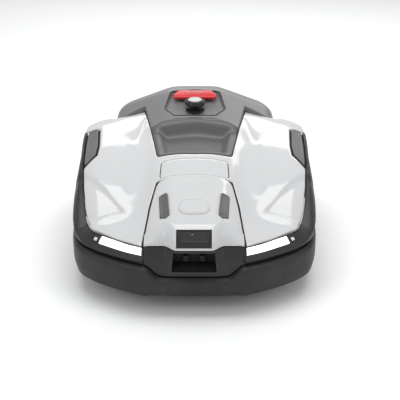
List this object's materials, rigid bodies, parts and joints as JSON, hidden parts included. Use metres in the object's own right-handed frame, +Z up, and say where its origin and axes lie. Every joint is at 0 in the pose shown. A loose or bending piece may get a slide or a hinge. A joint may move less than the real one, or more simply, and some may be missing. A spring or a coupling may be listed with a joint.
{
  "type": "robotic lawn mower",
  "caption": "Low robotic lawn mower with a floating gloss cover, large rear drive wheels, front casters, a disc with swinging blades and a stop button.",
  "frame": {"origin": "on the ground, under the middle of the bounding box", "axes": "+Z up, -Y towards the nose, +Y towards the rear drive wheels, +X towards the wheel named right"},
  "size_m": [0.56, 0.714, 0.3102],
  "materials": {
    "gloss_white": "high gloss painted plastic",
    "charcoal_plastic": "fine grained matte charcoal plastic",
    "satin_grey": "satin mid grey plastic",
    "dark_grey": "satin dark grey plastic",
    "pad_grey": "satin grey plastic",
    "black_plastic": "smooth black plastic",
    "smoked_window": "polished smoked window",
    "signal_red": "satin red plastic",
    "cap_grey": "satin light grey plastic",
    "lamp_white": "diffusing lit lens",
    "tyre_rubber": "moulded rubber",
    "bright_steel": "bright steel",
    "motor_case": "machined motor case",
    "contact_metal": "bright spring strip",
    "board_green": "lacquered circuit board"
  },
  "bodies": {
    "chassis": {"chassis_tub": "charcoal_plastic", "chassis_lid": "dark_grey", "battery_pack": "black_plastic", "main_board": "board_green", "wheel_motor_left": "motor_case", "wheel_motor_right": "motor_case"},
    "drive_wheel_left": {"wheel_rim_left": "dark_grey", "tyre_left": "tyre_rubber"},
    "drive_wheel_right": {"wheel_rim_right": "dark_grey", "tyre_right": "tyre_rubber"},
    "caster_left": {"caster_fork_left": "charcoal_plastic", "caster_axle_left": "bright_steel"},
    "caster_right": {"caster_fork_right": "charcoal_plastic", "caster_axle_right": "bright_steel"},
    "caster_roller_left": {"caster_wheel_left": "tyre_rubber"},
    "caster_roller_right": {"caster_wheel_right": "tyre_rubber"},
    "cutting_unit": {"cutting_motor": "motor_case"},
    "disc": {"blade_disc": "bright_steel", "blade_screw_1": "bright_steel", "blade_screw_2": "bright_steel", "blade_screw_3": "bright_steel"},
    "skid": {"skid_plate": "black_plastic"},
    "blade_a": {"blade_1": "bright_steel"},
    "blade_b": {"blade_2": "bright_steel"},
    "blade_c": {"blade_3": "bright_steel"},
    "float_feet": {"float_foot_front_left": "tyre_rubber", "float_foot_front_right": "tyre_rubber", "float_foot_rear_left": "tyre_rubber", "float_foot_rear_right": "tyre_rubber"},
    "float_pins": {"float_pin_front_left": "charcoal_plastic", "float_pin_front_right": "charcoal_plastic", "float_pin_rear_left": "charcoal_plastic", "float_pin_rear_right": "charcoal_plastic"},
    "stop": {"stop_button": "signal_red"},
    "selector_cap": {"knob_cap": "cap_grey"},
    "selector_ring": {"selector_knob": "black_plastic"},
    "cover": {"cover_frame": "charcoal_plastic", "nose_panel": "charcoal_plastic", "bumper": "charcoal_plastic", "rear_apron": "charcoal_plastic", "side_frame_left": "charcoal_plastic", "side_frame_right": "charcoal_plastic", "console_well": "dark_grey", "selector_switch": "dark_grey", "camera_housing": "black_plastic", "sensor_pad_left": "black_plastic", "sensor_pad_right": "black_plastic", "hood": "gloss_white", "nose_cover": "gloss_white", "name_plate": "gloss_white", "nose_badge": "gloss_white", "shoulder_pad_left": "pad_grey", "shoulder_pad_right": "pad_grey", "camera_window": "smoked_window", "rear_cover": "satin_grey", "control_panel": "satin_grey", "headlight_lens_left": "lamp_white", "headlight_lens_right": "lamp_white", "charging_contact_left": "contact_metal", "charging_contact_right": "contact_metal"}
  },
  "joints": [
    {"name": "wheel_turn_left", "type": "hinge", "parent": "chassis", "child": "drive_wheel_left", "pos_m": [-0.227, 0.17, 0.105], "axis": [1, 0, 0], "continuous": true},
    {"name": "wheel_turn_right", "type": "hinge", "parent": "chassis", "child": "drive_wheel_right", "pos_m": [0.227, 0.17, 0.105], "axis": [1, 0, 0], "continuous": true},
    {"name": "caster_swivel_left", "type": "hinge", "parent": "chassis", "child": "caster_left", "pos_m": [-0.15, -0.215, 0.092], "axis": [0, 0, 1], "continuous": true},
    {"name": "caster_roll_left", "type": "hinge", "parent": "caster_left", "child": "caster_roller_left", "pos_m": [-0.15, -0.189, 0.04], "axis": [1, 0, 0], "continuous": true},
    {"name": "caster_swivel_right", "type": "hinge", "parent": "chassis", "child": "caster_right", "pos_m": [0.15, -0.215, 0.092], "axis": [0, 0, 1], "continuous": true},
    {"name": "caster_roll_right", "type": "hinge", "parent": "caster_right", "child": "caster_roller_right", "pos_m": [0.15, -0.189, 0.04], "axis": [1, 0, 0], "continuous": true},
    {"name": "cutting_height", "type": "slide", "parent": "chassis", "child": "cutting_unit", "axis": [0, 0, 1], "range_m": [-0.02, 0.02]},
    {"name": "disc_spin", "type": "hinge", "parent": "cutting_unit", "child": "disc", "pos_m": [0, -0.02, 0.046], "axis": [0, 0, 1], "continuous": true},
    {"name": "skid_spin", "type": "hinge", "parent": "disc", "child": "skid", "pos_m": [0, -0.02, 0.032], "axis": [0, 0, 1], "continuous": true},
    {"name": "blade_a_swing", "type": "hinge", "parent": "disc", "child": "blade_a", "pos_m": [0, 0.068, 0.0457], "axis": [0, 0, 1], "continuous": true},
    {"name": "blade_b_swing", "type": "hinge", "parent": "disc", "child": "blade_b", "pos_m": [-0.07621, -0.064, 0.0457], "axis": [0, 0, 1], "continuous": true},
    {"name": "blade_c_swing", "type": "hinge", "parent": "disc", "child": "blade_c", "pos_m": [0.07621, -0.064, 0.0457], "axis": [0, 0, 1], "continuous": true},
    {"name": "cover_float_long", "type": "slide", "parent": "chassis", "child": "float_feet", "axis": [0, 1, 0], "range_m": [-0.008, 0.008], "stiffness_N_per_m": 1500},
    {"name": "cover_float_side", "type": "slide", "parent": "float_feet", "child": "float_pins", "axis": [1, 0, 0], "range_m": [-0.008, 0.008], "stiffness_N_per_m": 1500},
    {"name": "cover_lift", "type": "slide", "parent": "float_pins", "child": "cover", "axis": [0, 0, 1], "range_m": [0, 0.01]},
    {"name": "stop_press", "type": "slide", "parent": "cover", "child": "stop", "axis": [0, 0, -1], "range_m": [0, 0.005], "stiffness_N_per_m": 600, "springref_m": -0.004},
    {"name": "selector_press", "type": "slide", "parent": "cover", "child": "selector_cap", "axis": [0, 0, -1], "range_m": [0, 0.002], "stiffness_N_per_m": 800, "springref_m": -0.003},
    {"name": "selector_turn", "type": "hinge", "parent": "selector_cap", "child": "selector_ring", "pos_m": [0, 0.176, 0.29], "axis": [0, 0, 1], "continuous": true}
  ]
}
